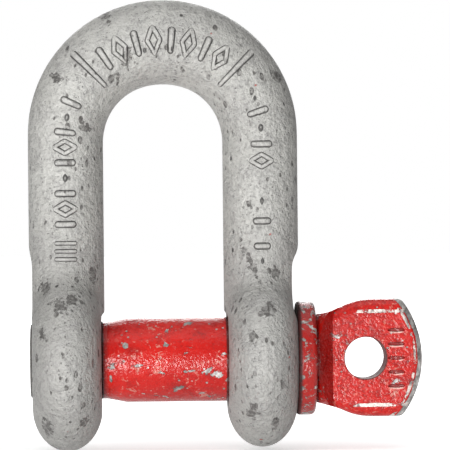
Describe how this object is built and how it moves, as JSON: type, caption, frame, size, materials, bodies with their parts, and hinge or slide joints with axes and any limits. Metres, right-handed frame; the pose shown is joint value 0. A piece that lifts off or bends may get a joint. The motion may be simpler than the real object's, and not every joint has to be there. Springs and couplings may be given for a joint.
{
  "type": "dee shackle",
  "caption": "Forged dee shackle: a galvanised D-shaped bow closed by a red-painted screw pin with a collar and a flat eye for turning it.",
  "frame": {"origin": "on the pin's axis, midway between the two legs of the bow", "axes": "+X along the pin towards its eye, +Z from the pin up to the crown of the bow, -Y the front"},
  "size_m": [0.1182, 0.0546, 0.1357],
  "materials": {
    "galvanised_steel": "matte",
    "red_painted_steel": "gloss"
  },
  "bodies": {
    "bow": {"bow": "galvanised_steel"},
    "screw_pin": {"screw_pin": "red_painted_steel"}
  },
  "joints": [
    {"name": "pin_withdrawal", "type": "slide", "parent": "bow", "child": "screw_pin", "axis": [1, 0, 0], "range_m": [0, 0.12]}
  ]
}
